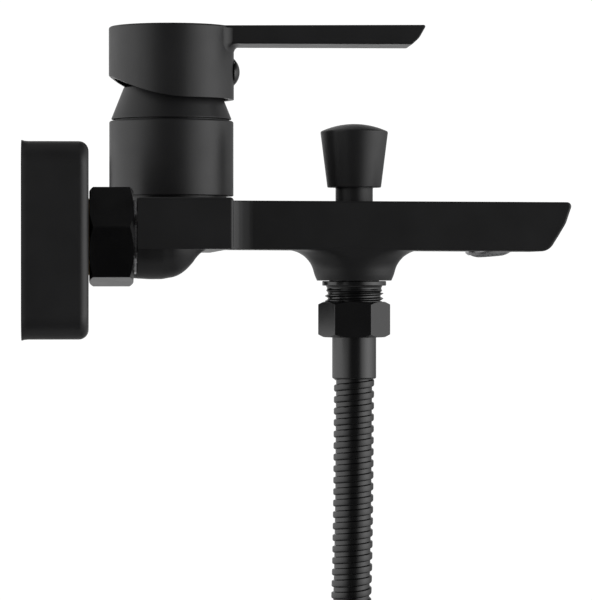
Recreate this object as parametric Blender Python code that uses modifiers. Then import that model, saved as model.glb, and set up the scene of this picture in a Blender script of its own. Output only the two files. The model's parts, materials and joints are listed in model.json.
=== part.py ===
"""Wall mounted single-lever bath and shower mixer with a pull-up diverter and a metal shower hose.

Metres, +Z up. The wall is the plane X = 0 and +X points away from it, along the spout. The two inlet axes run
along X at Y = -INLET_Y (hot) and Y = +INLET_Y (cold), at Z = 0. Each sub-part is one object.
"""
import math

import bmesh
import bpy
from mathutils import Vector

# ---------------------------------------------------------------- driving dimensions, metres
WELD = 1e-5                    # merge distance of turned and converted meshes
GAP = 0.0003                   # gap that touching pieces keep

INLET_Y = 0.075                # half of the 150 mm between the inlet axes
ROSETTE_HALF = 0.0324          # half side of the square rosette
ROSETTE_DEPTH = 0.0217
ROSETTE_DROP = 0.0014          # the rosette sits this much below the inlet axis
ECCENTRIC_DROP = 0.008         # offset between the two ends of the eccentric union
G34_R = 0.0127                 # thread of the eccentric union and seat of the union nut
UNION_NUT_X = (0.0221, 0.0365)
UNION_NUT_AF = 0.0303
UNION_NUT_TURN = math.radians(19.8)

BAR_X = (0.0377, 0.0692)       # the horizontal bar of the casting
BAR_Y = 0.0891
BAR_Z = (-0.0041, 0.0129)
BAR_EDGE = 0.0012              # rounding of the bar's upper and front edges
ROOT_FILLET_R = 0.010          # inner corners between the bar and the spout
# The round inlet elbow behind each end of the bar: (radius, X), from its front end back to the union.
ELBOW = [(0, 0.0640), (0.0020, 0.0635), (0.0032, 0.0625), (0.0045, 0.0600), (0.0061, 0.0580),
         (0.0087, 0.0560), (0.0108, 0.0540), (0.0123, 0.0520), (0.0132, 0.0500), (0.0139, 0.0465),
         (0.0140, 0.0430), (0.0138, 0.0385), (0.0138, 0.0377), (0, 0.0377)]

HOUSING_X = 0.051              # axis of the cartridge, its sleeve and the lever head
SLEEVE_R = 0.0220
SLEEVE_Z = (0.0153, 0.0419)
CONE_Z = (0.0424, 0.0539)
CONE_R = (0.0214, 0.0168)
NECK_R = 0.0195
NECK_BORE_R = 0.0177
NECK_TOP = 0.0414
CHAMBER_FLOOR = 0.0146

HEAD_R = 0.02215
HEAD_Z = (0.0495, 0.0752)
HEAD_BORE_R = 0.0202
TILT_Z = 0.040                 # height of the lever's tilt axis
BLADE_TIP = (0.1408, 0.0757)   # X and Z of the blade's upper front corner
BLADE_LOW_TIP = (0.1357, 0.0688)
BLADE_Z = (0.0687, 0.0752)     # where it leaves the head
BLADE_WIDTH = 0.022
BLADE_FILLET_R = 0.0032        # inner corners between the head and the blade
GRUB_Z = 0.05935

SPOUT_WIDTH = 0.0315
SPOUT_ROOT_Z = 0.01357         # height of the spout's upper side where it leaves the bar
SPOUT_TOP_TIP = (0.1922, 0.0131)   # X and Z of the tip's upper corner, before it is rounded
DIVERTER_X = 0.116             # axis of the diverter, the outlet and the hose
BOSS_FOOT_Z = -0.0146
AERATOR_X = 0.1646
AERATOR_TILT = math.radians(-4.5)
AERATOR_R = 0.0088

HOSE_R = 0.0072
FERRULE_R = 0.00785
FERRULE_BORE = 0.0082           # of the two nuts that turn on the ferrules
HOSE_NUT_AF = 0.0223
HOSE_NUT_TURN = math.radians(6.8)
COIL_R = 0.0856                # radius at the middle of the turns
COIL_Z = -0.2590               # height of the coil's centre
COIL_X = 0.1135                # where the first turn lies along X
COIL_PITCH = 0.0146            # from one turn to the next
COIL_START = math.radians(63.7)
COIL_TURNS = 2.427             # ends at the bottom of the coil
COIL_STEP_OUT = 0.0200         # sideways step of the last quarter turn, clear of the coil

# Route of the hose from the ferrule to where it touches the coil: down, then over to +Y.
HOSE_ROUTE = [
    (0.1160, 0.0000, -0.0496), (0.1159, 0.0000, -0.0620), (0.1158, 0.0000, -0.0760),
    (0.1157, 0.0000, -0.0900), (0.1155, 0.0000, -0.1040), (0.1153, 0.0000, -0.1160),
    (0.1151, 0.0001, -0.1240), (0.1149, 0.0010, -0.1331), (0.1146, 0.0041, -0.1446),
    (0.1143, 0.0074, -0.1522), (0.1140, 0.0110, -0.1583),
]

UPRIGHT = (0, 0, 0)
ALONG_X = (0, math.pi / 2, 0)              # local Z becomes +X
FACING_X = (math.pi / 2, 0, math.pi / 2)   # local X, Y, Z become +Y, +Z, +X
SIDEWAYS = (math.pi / 2, 0, 0)             # local X, Y, Z become +X, +Z, -Y

FINE, MEDIUM, COARSE, SMALL = 32, 20, 14, 10   # sides of round pieces


# ---------------------------------------------------------------- helpers
def collection(name):
    made = bpy.data.collections.new(name)
    bpy.context.scene.collection.children.link(made)
    return made


def clear_scene():
    for obj in list(bpy.data.objects):
        bpy.data.objects.remove(obj, do_unlink=True)


clear_scene()
PARTS = collection("bath_mixer")
CUTTERS = collection("cutters")


def material(name, colour, roughness, metallic=0.0):
    made = bpy.data.materials.new(name)
    made.use_nodes = True
    shader = made.node_tree.nodes["Principled BSDF"]
    shader.inputs["Base Color"].default_value = (*colour, 1)
    shader.inputs["Roughness"].default_value = roughness
    shader.inputs["Metallic"].default_value = metallic
    return made


PAINT = material("satin_black_paint", (0.016, 0.016, 0.017), 0.45)
GLOSS = material("gloss_black_plating", (0.012, 0.012, 0.013), 0.28, 0.6)
BRASS = material("brass", (0.78, 0.57, 0.28), 0.35, 1.0)
STEEL = material("steel", (0.62, 0.62, 0.63), 0.3, 1.0)
PLASTIC = material("white_plastic", (0.80, 0.80, 0.78), 0.5)
GREY = material("grey_plastic", (0.32, 0.33, 0.34), 0.45)
CERAMIC = material("ceramic", (0.86, 0.85, 0.82), 0.2)
RUBBER = material("black_rubber", (0.02, 0.02, 0.02), 0.75)


def add(name, mesh, look=None, at=(0, 0, 0), turn=UPRIGHT):
    """Puts a mesh or curve in the scene: a part when it has a look, otherwise a cutter."""
    obj = bpy.data.objects.new(name, mesh)
    obj.location = at
    obj.rotation_euler = turn
    (PARTS if look else CUTTERS).objects.link(obj)
    if look:
        mesh.materials.append(look)
    else:
        obj.hide_render = True
        obj.display_type = "WIRE"
    return obj


def turned(name, profile, sides, look=None, at=(0, 0, 0), turn=UPRIGHT, ring=False):
    """Turns (radius, height) points about local Z through `at`. The outer side comes first, top to bottom."""
    mesh = bpy.data.meshes.new(name)
    edges = [(i, i + 1) for i in range(len(profile) - 1)]
    if ring:
        edges.append((len(profile) - 1, 0))
    mesh.from_pydata([(r, 0, h) for r, h in profile], edges, [])
    obj = add(name, mesh, look, at, turn)
    screw = obj.modifiers.new("turn", "SCREW")
    screw.steps = screw.render_steps = sides
    screw.use_merge_vertices = True
    screw.merge_threshold = WELD
    return obj


def tube(name, outer, inner, low, high, sides, look=None, at=(0, 0, 0), turn=UPRIGHT, chamfer=0.0):
    """A straight ring with optional chamfers on its outer edges."""
    top = [(outer - chamfer, high), (outer, high - chamfer)] if chamfer else [(outer, high)]
    foot = [(outer, low + chamfer), (outer - chamfer, low)] if chamfer else [(outer, low)]
    return turned(name, top + foot + [(inner, low), (inner, high)], sides, look, at, turn, ring=True)


def rod(name, radius, low, high, sides, look=None, at=(0, 0, 0), turn=UPRIGHT):
    return turned(name, [(0, high), (radius, high), (radius, low), (0, low)], sides, look, at, turn)


def arc(centre, radius, start, end, steps):
    """Points on an arc from start to end, in degrees."""
    angles = [math.radians(start + (end - start) * i / steps) for i in range(steps + 1)]
    return [(centre[0] + radius * math.cos(a), centre[1] + radius * math.sin(a)) for a in angles]


def rounded(corners, radii, steps=4):
    """An outline whose corners are replaced by arcs of the given radii."""
    outline = []
    for i, (corner, radius) in enumerate(zip(corners, radii)):
        here = Vector(corner)
        back = (Vector(corners[i - 1]) - here).normalized()
        ahead = (Vector(corners[(i + 1) % len(corners)]) - here).normalized()
        if radius == 0:
            outline.append(tuple(here))
            continue
        half = back.angle(ahead) / 2
        reach = radius / math.tan(half)
        centre = here + (back + ahead).normalized() * radius / math.sin(half)
        first = (here + back * reach - centre).normalized()
        last = (here + ahead * reach - centre).normalized()
        for k in range(steps + 1):
            outline.append(tuple(centre + first.slerp(last, k / steps) * radius))
    return outline


def plate(name, outline, thickness, look=None, at=(0, 0, 0), turn=UPRIGHT):
    """A flat outline with an even thickness, centred on its local XY plane, as a welded mesh."""
    curve = bpy.data.curves.new(name, "CURVE")
    curve.dimensions = "2D"
    curve.fill_mode = "BOTH"
    curve.extrude = thickness / 2
    spline = curve.splines.new("POLY")
    spline.points.add(len(outline) - 1)
    for point, (x, y) in zip(spline.points, outline):
        point.co = (x, y, 0, 1)
    spline.use_cyclic_u = True
    shape = bpy.data.objects.new(name, curve)
    CUTTERS.objects.link(shape)
    bpy.context.view_layer.update()
    mesh = bpy.data.meshes.new_from_object(shape.evaluated_get(bpy.context.evaluated_depsgraph_get()))
    bpy.data.objects.remove(shape, do_unlink=True)
    sheet = bmesh.new()
    sheet.from_mesh(mesh)
    bmesh.ops.remove_doubles(sheet, verts=sheet.verts, dist=WELD)
    bmesh.ops.recalc_face_normals(sheet, faces=sheet.faces)
    sheet.to_mesh(mesh)
    sheet.free()
    mesh.name = name
    return add(name, mesh, look, at, turn)


def box(name, low, high, look=None, at=(0, 0, 0)):
    """A box between two corners, with its origin at `at`."""
    size = [b - a for a, b in zip(low, high)]
    middle = [(a + b) / 2 - c for a, b, c in zip(low, high, at)]
    mesh = bpy.data.meshes.new(name)
    cube = bmesh.new()
    bmesh.ops.create_cube(cube, size=1)
    bmesh.ops.scale(cube, vec=size, verts=cube.verts)
    bmesh.ops.translate(cube, vec=middle, verts=cube.verts)
    cube.to_mesh(mesh)
    cube.free()
    return add(name, mesh, look, at)


def bevel(obj, width, segments=2, angle=40):
    made = obj.modifiers.new("edges", "BEVEL")
    made.width = width
    made.segments = segments
    made.limit_method = "ANGLE"
    made.angle_limit = math.radians(angle)
    return obj


def combine(obj, other, operation):
    made = obj.modifiers.new(other.name, "BOOLEAN")
    made.operation = operation
    made.object = other
    return obj


def cut(obj, *others):
    for other in others:
        combine(obj, other, "DIFFERENCE")
    return obj


def join(obj, *others):
    for other in others:
        combine(obj, other, "UNION")
    return obj


def keep(obj, other):
    return combine(obj, other, "INTERSECT")


def hexagon(across_flats, turn):
    radius = across_flats / 2 / math.cos(math.pi / 6)
    return [(radius * math.cos(turn + k * math.pi / 3), radius * math.sin(turn + k * math.pi / 3))
            for k in range(6)]


def smooth_path(points, spacing):
    """Evenly spaced points on the smooth curve through the given points."""
    points = [Vector(p) for p in points]
    dense = []
    padded = [2 * points[0] - points[1], *points, 2 * points[-1] - points[-2]]
    for a, b, c, d in zip(padded, padded[1:], padded[2:], padded[3:]):
        for k in range(12):
            t = k / 12
            dense.append(0.5 * (2 * b + (c - a) * t + (2 * a - 5 * b + 4 * c - d) * t * t
                                + (3 * b - a - 3 * c + d) * t ** 3))
    dense.append(points[-1])
    lengths = [0.0]
    for p, q in zip(dense, dense[1:]):
        lengths.append(lengths[-1] + (q - p).length)
    count = max(2, round(lengths[-1] / spacing))
    even, k = [], 0
    for i in range(count + 1):
        goal = lengths[-1] * i / count
        while k < len(dense) - 2 and lengths[k + 1] < goal:
            k += 1
        share = (goal - lengths[k]) / (lengths[k + 1] - lengths[k])
        even.append(dense[k].lerp(dense[k + 1], min(share, 1)))
    return even


def wire(name, points, radius, look, resolution=2, at=(0, 0, 0)):
    """A round tube or wire with filled caps along the points."""
    curve = bpy.data.curves.new(name, "CURVE")
    curve.dimensions = "3D"
    curve.bevel_depth = radius
    curve.bevel_resolution = resolution
    curve.use_fill_caps = True
    spline = curve.splines.new("POLY")
    spline.points.add(len(points) - 1)
    for point, place in zip(spline.points, points):
        point.co = (*(Vector(place) - Vector(at)), 1)
    return add(name, curve, look, at)


def helix(centre, radius, low, high, turns, per_turn):
    count = round(turns * per_turn)
    return [(centre[0] + radius * math.cos(2 * math.pi * i / per_turn),
             centre[1] + radius * math.sin(2 * math.pi * i / per_turn),
             low + (high - low) * i / count) for i in range(count + 1)]


# ---------------------------------------------------------------- the casting
PORTS = [("hot", -0.0048, -0.00575), ("cold", -0.0048, 0.00575), ("mixed", 0.0075, 0.0)]
PORT_R = 0.0026
AERATOR_AXIS = (0, AERATOR_TILT, 0)
AERATOR_AT = (AERATOR_X, 0, -0.0040)


def spout_outline():
    corners = [(0.060, SPOUT_ROOT_Z), SPOUT_TOP_TIP, (0.1897, 0.0056), (0.1872, 0.0014), (0.1836, -0.0043),
               (0.060, -0.0036)]
    return rounded(corners, [0, 0.0015, 0.010, 0.010, 0.0020, 0])


def boss():
    """The flared boss under the spout, trimmed to the spout's width."""
    flare = [(0, 0.0), (0.0243, 0.0), (0.0233, -0.0037), (0.0204, -0.00445), (0.0179, -0.0059),
             (0.0165, -0.0073), (0.0155, -0.0087), (0.01485, -0.0101), (0.0144, -0.0116),
             (0.01395, -0.0130), (0.01325, BOSS_FOOT_Z), (0, BOSS_FOOT_Z)]
    made = turned("boss_form", flare, FINE, at=(DIVERTER_X, 0, 0))
    half = SPOUT_WIDTH / 2 - 0.00004
    return keep(made, box("boss_trim", (0.08, -half, -0.02), (0.15, half, 0.003)))


def root_fillet():
    """Rounds the inner corners between the bar's front face and the spout's sides."""
    half, radius, sink = SPOUT_WIDTH / 2, ROOT_FILLET_R, 0.00015
    side = arc((BAR_X[1] + radius - sink, half + radius - sink), radius, 180, 270, 6)
    outline = [(0.060, side[0][1])] + side + [(side[-1][0], half - 0.002)]
    outline += [(x, -y) for x, y in reversed(outline)]
    low, high = -0.0034, 0.0121
    return plate("root_fillet", outline, high - low, at=(0, 0, (low + high) / 2))


def bar():
    """The horizontal bar, rounded along its upper and front edges."""
    made = box("mixer_body", (BAR_X[0], -BAR_Y, BAR_Z[0]), (BAR_X[1], BAR_Y, BAR_Z[1]), PAINT)
    weights = made.data.attributes.new("bevel_weight_edge", "FLOAT", "EDGE")
    for edge in made.data.edges:
        ends = [made.data.vertices[v].co for v in edge.vertices]
        upper = all(end.z > BAR_Z[1] - WELD for end in ends)
        front = all(end.x > BAR_X[1] - WELD for end in ends)
        weights.data[edge.index].value = 1.0 if upper or front else 0.0
    bevel(made, BAR_EDGE).modifiers[-1].limit_method = "WEIGHT"
    return made


def mixer_body():
    casting = bar()
    for side in (-1, 1):
        form = turned("elbow_form", ELBOW, MEDIUM, at=(0, side * INLET_Y, 0), turn=ALONG_X)
        join(casting, keep(form, box("elbow_trim", (0.03, side * INLET_Y - 0.02, -0.02),
                                     (0.07, side * INLET_Y + 0.02, BAR_Z[1] - 0.0001))))
    spout = bevel(plate("spout_form", spout_outline(), SPOUT_WIDTH, turn=SIDEWAYS), 0.0009)
    neck = rod("neck_form", NECK_R, 0.0122, NECK_TOP, FINE, at=(HOUSING_X, 0, 0))
    join(casting, root_fillet(), spout, boss(), neck)

    cut(casting, rod("chamber_bore", NECK_BORE_R, CHAMBER_FLOOR, 0.05, FINE, at=(HOUSING_X, 0, 0)))
    for side in (-1, 1):
        cut(casting,
            rod("inlet_bore", 0.0090, 0.030, 0.050, COARSE, at=(0, side * INLET_Y, 0), turn=ALONG_X),
            rod("cross_channel", 0.0036, 0.003, 0.070, 12,
                at=(HOUSING_X + PORTS[0][1], 0, 0.0025), turn=(-side * math.pi / 2, 0, 0)))
    for name, x, y in PORTS:
        foot = 0.0 if name == "mixed" else 0.0025
        cut(casting, rod(name + "_port", PORT_R, foot, 0.020, 12, at=(HOUSING_X + x, y, 0)))
    cut(casting,
        rod("mixed_channel", 0.0029, 0.0545, 0.110, 12, turn=ALONG_X),
        rod("spout_channel", 0.0026, 0.120, 0.164, 12, at=(0, 0, 0.0073), turn=ALONG_X),
        turned("diverter_bore",
               [(0, 0.0200), (0.0081, 0.0200), (0.0081, 0.0044), (0.0063, 0.0044), (0.0063, 0.0030),
                (0.0092, 0.0030), (0.0092, -0.0200), (0, -0.0200)], MEDIUM, at=(DIVERTER_X, 0, 0)),
        rod("aerator_bore", 0.0092, -0.010, 0.0128, MEDIUM, at=AERATOR_AT, turn=AERATOR_AXIS))
    for step in casting.modifiers:
        if step.type == "BOOLEAN":
            step.solver = "MANIFOLD"        # so many bores in one casting leave the exact solver open edges
    return casting


def sleeve_and_cone():
    low, high = SLEEVE_Z
    turned("housing_sleeve",
           [(0.0204, high), (SLEEVE_R - 0.0006, high), (SLEEVE_R - 0.0002, high - 0.0002),
            (SLEEVE_R, high - 0.0007), (SLEEVE_R, low + 0.0003), (SLEEVE_R - 0.0003, low),
            (0.0199, low), (0.0199, high - 0.0005)], FINE, PAINT, at=(HOUSING_X, 0, 0), ring=True)
    low, high = CONE_Z
    wide, narrow = CONE_R
    turned("cartridge_cover_ring",
           [(narrow - 0.0009, high), (narrow - 0.00025, high - 0.00015), (narrow, high - 0.0006),
            (wide, low + 0.0002), (wide - 0.0002, low), (0.0196, low), (0.0196, low - 0.0006),
            (0.0190, low - 0.0006), (0.0190, low + 0.0004), (0.0152, high)],
           FINE, PAINT, at=(HOUSING_X, 0, 0), ring=True)


# ---------------------------------------------------------------- the ceramic cartridge
def cartridge():
    at = (HOUSING_X, 0, 0)
    for name, x, y in PORTS:
        tube(name + "_port_seal", 0.0043, 0.0031, 0.0149, 0.0157, COARSE, RUBBER, at=(HOUSING_X + x, y, 0))
    base = rod("cartridge_base", 0.0174, 0.0160, 0.0180, MEDIUM, PLASTIC, at=at)
    disc = rod("fixed_ceramic_disc", 0.0154, 0.0183, 0.0213, MEDIUM, CERAMIC, at=at)
    for name, x, y in PORTS:
        hole = rod(name + "_hole", PORT_R, 0.010, 0.030, 12, at=(HOUSING_X + x, y, 0))
        cut(base, hole)
        cut(disc, hole)
    turned("cartridge_casing",
           [(0.0124, 0.0440), (0.0124, 0.0396), (0.0174, 0.0396), (0.0174, 0.0183),
            (0.0158, 0.0183), (0.0158, 0.0376), (0.0104, 0.0376), (0.0104, 0.0440)],
           MEDIUM, PLASTIC, at=at, ring=True)
    nut = turned("cartridge_retaining_nut",
                 [(0.0160, 0.0462), (0.0167, 0.0455), (0.0167, 0.0422), (0.0174, 0.0422),
                  (0.0174, 0.0399), (0.0128, 0.0399), (0.0128, 0.0462)], MEDIUM, BRASS, at=at, ring=True)
    reach = 0.020
    for k, size in enumerate(((reach, 0.0018), (0.0018, reach))):
        cut(nut, box(f"spanner_slot_{k}", (HOUSING_X - size[0], -size[1], 0.0440),
                     (HOUSING_X + size[0], size[1], 0.0480)))

    turned("moving_ceramic_disc",
           [(0, 0.0242), (0.0094, 0.0242), (0.0094, 0.0216), (0.0050, 0.0216), (0.0050, 0.0226), (0, 0.0226)],
           MEDIUM, CERAMIC, at=at)
    turned("disc_carrier",
           [(0, 0.0258), (0.0029, 0.0258), (0.0029, 0.0296), (0.0038, 0.0312), (0.0090, 0.0312),
            (0.0090, 0.0245), (0, 0.0245)], MEDIUM, GREY, at=at)

    rotor = turned("cartridge_rotor",
                   [(0, 0.0460), (0.0100, 0.0460), (0.0100, 0.0373), (0.0154, 0.0373),
                    (0.0154, 0.0316), (0, 0.0316)], MEDIUM, GREY, at=at)
    slot = [(-0.0080, 0.0470), (-0.0080, 0.0440), (-0.0046, 0.0400), (-0.0046, 0.0300), (0.0105, 0.0300),
            (0.0056, 0.0400), (0.0056, 0.0470)]
    cut(rotor, plate("stem_slot", slot, 0.0086, at=at, turn=SIDEWAYS))
    pin_hole = rod("pin_hole", 0.00156, -0.020, 0.020, 20, at=(HOUSING_X, 0, TILT_Z), turn=SIDEWAYS)
    cut(rotor, pin_hole)
    rod("stem_pivot_pin", 0.0015, -0.0095, 0.0095, 20, STEEL, at=(HOUSING_X, 0, TILT_Z), turn=SIDEWAYS)

    ball_z, ball_r, rod_r = 0.0288 - TILT_Z, 0.0026, 0.0022
    ball = arc((0, ball_z), ball_r, 50, -90, 5)
    stem_at = (HOUSING_X, 0, TILT_Z)
    stem = bevel(box("cartridge_stem", (HOUSING_X - 0.004, -0.004, 0.0352), (HOUSING_X + 0.004, 0.004, 0.0668),
                     BRASS, at=stem_at), 0.0004, 1)
    foot = turned("stem_foot", [(0, 0.0360 - TILT_Z), (rod_r, 0.0360 - TILT_Z), (rod_r, ball[0][1] + 0.0004)]
                  + ball[:-1] + [(0, ball[-1][1])], COARSE, at=stem_at)
    cut(join(stem, foot), pin_hole)


# ---------------------------------------------------------------- the lever
def blade():
    """The flat blade seen from the side, with a concave fillet under its root."""
    root, deep, top = HEAD_R + 0.0001, 0.0160, BLADE_Z[1] - TILT_Z
    tip_x, tip_z = BLADE_TIP[0] - HOUSING_X, BLADE_TIP[1] - TILT_Z
    under, radius = BLADE_Z[0] - TILT_Z, BLADE_FILLET_R
    corners = [(deep, under - radius), (deep, top), (tip_x, tip_z), (tip_x - 0.0026, tip_z - 0.0046),
               (BLADE_LOW_TIP[0] - HOUSING_X, BLADE_LOW_TIP[1] - TILT_Z)]
    outline = rounded(corners, [0, 0, 0.0006, 0.006, 0.0008])
    outline += arc((root + radius, under - radius), radius, 90, 180, 4)
    return bevel(plate("blade_form", outline, BLADE_WIDTH, at=(HOUSING_X, 0, TILT_Z), turn=SIDEWAYS), 0.0006)


def blade_fillet():
    """Rounds the inner corners between the head and the blade's two sides."""
    half, radius, sink = BLADE_WIDTH / 2, BLADE_FILLET_R, 0.0001
    centre_y = half + radius - sink
    centre_x = math.sqrt((HEAD_R + radius - sink) ** 2 - centre_y ** 2)
    start = 180 + math.degrees(math.atan2(centre_y, centre_x))
    side = arc((centre_x, centre_y), radius, start, 270, 4)
    outline = [(0.0165, side[0][1])] + side + [(centre_x, half - 0.002)]
    outline += [(x, -y) for x, y in reversed(outline)]
    low, high = BLADE_Z[0] + 0.0007, BLADE_Z[1] - 0.0009
    return plate("blade_fillet", outline, high - low, at=(HOUSING_X, 0, (low + high) / 2))


def lever():
    at = (HOUSING_X, 0, TILT_Z)
    low, high = 0.0475 - TILT_Z, HEAD_Z[1] - TILT_Z
    roof, hub_foot = 0.0715 - TILT_Z, 0.0563 - TILT_Z
    handle = turned("lever_handle",
                    [(0, high), (HEAD_R - 0.0008, high), (HEAD_R - 0.0002, high - 0.0002),
                     (HEAD_R, high - 0.0008), (HEAD_R, low), (HEAD_BORE_R, low), (HEAD_BORE_R, roof),
                     (0.0070, roof), (0.0070, hub_foot), (0, hub_foot)], FINE, PAINT, at=at)
    join(handle, blade(), blade_fillet())

    flat_to, radius, foot = 0.0064, 0.052, HEAD_Z[0] - TILT_Z
    sweep = [(flat_to + radius * math.sin(a), foot + radius * (1 - math.cos(a)))
             for a in (-math.radians(40) * i / 10 for i in range(11))]
    underside = [(0.030, foot)] + sweep + [(sweep[-1][0], 0), (0.030, 0)]
    cut(handle, plate("head_underside", underside, 0.06, at=at, turn=SIDEWAYS))
    socket = 0.0043
    cut(handle,
        box("stem_socket", (HOUSING_X - socket, -socket, 0.0500), (HOUSING_X + socket, socket, 0.0672)),
        rod("grub_screw_hole", 0.0028, 0.0030, 0.0120, COARSE, at=(HOUSING_X, 0, GRUB_Z), turn=ALONG_X),
        rod("plug_hole", 0.0033, 0.0150, 0.0260, COARSE, at=(HOUSING_X, 0, GRUB_Z), turn=ALONG_X))
    axis = bpy.data.objects.new("lever_tilt_axis", None)
    axis.location = at
    PARTS.objects.link(axis)
    bore = (0, 0, GRUB_Z - TILT_Z)
    screw = turned("lever_grub_screw",
                   [(0, 0.0100), (0.0012, 0.0100), (0.0012, 0.0120), (0.0022, 0.0120), (0.0025, 0.0117),
                    (0.0025, 0.0052), (0.0018, 0.0044), (0, 0.0044)], SMALL, STEEL, at=bore, turn=ALONG_X)
    dome = [(0.00465 * math.cos(a), 0.0228 + 0.00145 * math.sin(a))
            for a in (math.pi / 2 * (1 - i / 3) for i in range(4))]
    plug = turned("index_plug", [(0, dome[0][1])] + dome[1:] + [(0.00465, 0.02246), (0.0030, 0.02246),
                                                               (0.0030, 0.0206), (0, 0.0206)],
                  COARSE, GLOSS, at=bore, turn=ALONG_X)
    screw.parent = plug.parent = axis


# ---------------------------------------------------------------- the diverter
def diverter():
    at = (DIVERTER_X, 0, 0)
    rim_r, rim_z, foot_r, foot_z, apex = 0.0120, 0.0384, 0.0096, 0.0185, 0.0411
    crown_r = (rim_r ** 2 + (apex - rim_z) ** 2) / (2 * (apex - rim_z))
    crown = [(crown_r * math.sin(a), apex - crown_r * (1 - math.cos(a)))
             for a in (math.asin((rim_r - 0.0004) / crown_r) * i / 3 for i in range(4))]
    turned("diverter_knob",
           crown + [(rim_r, rim_z - 0.0003), (foot_r, foot_z + 0.0003), (foot_r - 0.0003, foot_z),
                    (0.0070, foot_z), (0.0070, 0.0330), (0.0028, 0.0330), (0.0028, 0.0370), (0, 0.0370)],
           MEDIUM, PAINT, at=at)
    turned("diverter_bonnet",
           [(0.0062, 0.0310), (0.00665, 0.0305), (0.00665, 0.0131), (0.0078, 0.0131), (0.0078, 0.0082),
            (0.0028, 0.0082), (0.0028, 0.0286), (0.0046, 0.0286), (0.0046, 0.0310)],
           MEDIUM, PAINT, at=at, ring=True)
    tube("diverter_rod_seal", 0.0043, 0.0028, 0.0289, 0.0304, COARSE, RUBBER, at=at, chamfer=0.0003)
    rod("diverter_rod", 0.0025, -0.0132, 0.0367, COARSE, STEEL, at=at)
    tube("diverter_valve_washer", 0.0056, 0.0028, -0.0073, -0.0061, COARSE, BRASS, at=at)
    tube("diverter_valve_seal", 0.0082, 0.0028, -0.0102, -0.0076, MEDIUM, RUBBER, at=at, chamfer=0.0004)
    nut = tube("diverter_lock_nut", 0.0041, 0.0028, -0.0127, -0.0105, COARSE, BRASS, at=at)
    keep(nut, plate("lock_nut_flats", hexagon(0.0070, 0.2), 0.010, at=(DIVERTER_X, 0, -0.0116)))
    wire("diverter_spring", helix(at, 0.0042, -0.0054, 0.0075, 4, 8), 0.00035, STEEL, at=at)


# ---------------------------------------------------------------- the shower outlet and the hose
def shower_outlet():
    at = (DIVERTER_X, 0, 0)
    crest, root, pitch = 0.01040, 0.00940, 0.001814
    thread = []
    for k in range(2):
        top = -0.0188 - k * pitch
        thread += [(root, top), (crest, top - 0.40 * pitch), (crest, top - 0.60 * pitch)]
    turned("shower_outlet_nipple",
           [(0.0085, -0.0105), (0.0089, -0.0109), (0.0089, -0.0149), (0.0114, -0.0149), (0.0114, -0.0164),
            (root, -0.0164)] + thread + [(0.0099, -0.0219), (0.0099, -0.0262), (0.0096, -0.0265),
                                         (0.0070, -0.0265), (0.0070, -0.0145), (0.0065, -0.0140),
                                         (0.0065, -0.0105)], MEDIUM, GLOSS, at=at, ring=True)
    turned("check_valve_body",
           [(0.0067, -0.0160), (0.0067, -0.0262), (0.0050, -0.0262), (0.0050, -0.0182), (0.0036, -0.0172),
            (0.0036, -0.0160)], COARSE, PLASTIC, at=at, ring=True)
    turned("check_valve_poppet",
           [(0, -0.0178), (0.0032, -0.0178), (0.0045, -0.0192), (0.0045, -0.0204), (0.0012, -0.0204),
            (0.0012, -0.0235), (0, -0.0235)], COARSE, GREY, at=at)
    wire("check_valve_spring", helix(at, 0.0034, -0.0258, -0.0210, 3, 8), 0.00025, STEEL, at=at)

    high, low = -0.0221, -0.0347
    corner = HOSE_NUT_AF / 2 / math.cos(math.pi / 6) + 0.0001
    flat = HOSE_NUT_AF / 2
    nut = turned("hose_nut",
                 [(flat, high), (corner, high - 0.0009), (corner, low + 0.0009), (flat, low),
                  (FERRULE_BORE, low), (FERRULE_BORE, -0.0313), (0.0102, -0.0313), (0.0102, high)],
                 MEDIUM, GLOSS, at=at, ring=True)
    flats = hexagon(HOSE_NUT_AF, -HOSE_NUT_TURN)
    keep(nut, plate("hose_nut_flats", flats, 0.02, at=(DIVERTER_X, 0, -0.0284)))
    tube("hose_washer", 0.0092, 0.0060, -0.0288, -0.0268, COARSE, RUBBER, at=at)
    turned("hose_ferrule",
           [(0.0094, -0.0291), (0.0094, -0.0310), (FERRULE_R, -0.0310), (FERRULE_R, -0.0489),
            (0.0074, -0.0493), (0.0050, -0.0493), (0.0050, -0.0291)], MEDIUM, GLOSS, at=at, ring=True)


def coil_point(turns):
    """A point on the hose's centre line inside the coil, and past it on the last quarter turn."""
    angle = COIL_START - 2 * math.pi * turns
    late = max(0.0, (turns - (COIL_TURNS - 0.25)) / 0.25)
    aside = COIL_STEP_OUT * late * late * (3 - 2 * late)
    return (COIL_X + COIL_PITCH * min(turns, COIL_TURNS - 0.25) + aside,
            COIL_R * math.cos(angle), COIL_Z + COIL_R * math.sin(angle))


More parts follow.
